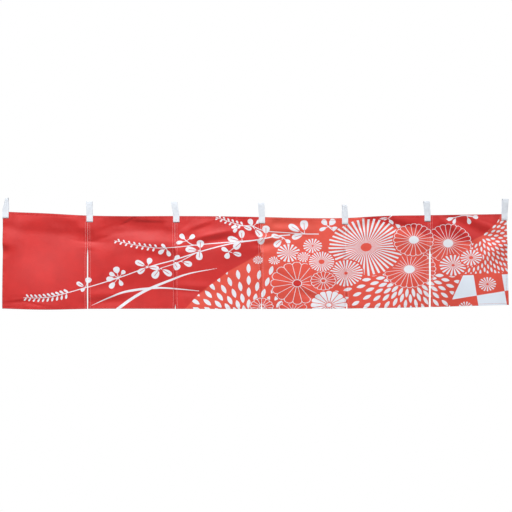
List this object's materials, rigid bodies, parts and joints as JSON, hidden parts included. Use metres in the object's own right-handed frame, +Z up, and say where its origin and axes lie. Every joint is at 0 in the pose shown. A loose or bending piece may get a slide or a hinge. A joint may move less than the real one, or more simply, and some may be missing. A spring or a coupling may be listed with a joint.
{
  "type": "noren curtain",
  "caption": "Long low noren curtain of hemmed, printed cloth panels sewn side by side along the top and slit below, hung from a pole by white tape loops.",
  "frame": {"origin": "on the hanging line, at the underside of the middle loop's crown", "axes": "+X along the pole to the viewer's right, -Y towards the viewer, +Z up"},
  "size_m": [1.7172, 0.0285, 0.3769],
  "materials": {
    "printed_cloth": "matt woven polyester, red with a white print",
    "white_tape": "matt woven white tape"
  },
  "bodies": {
    "root": {"panel_1": "printed_cloth", "panel_2": "printed_cloth", "panel_3": "printed_cloth", "panel_4": "printed_cloth", "panel_5": "printed_cloth", "panel_6": "printed_cloth", "loop_1": "white_tape", "loop_2": "white_tape", "loop_3": "white_tape", "loop_4": "white_tape", "loop_5": "white_tape", "loop_6": "white_tape", "loop_7": "white_tape"}
  },
  "joints": []
}
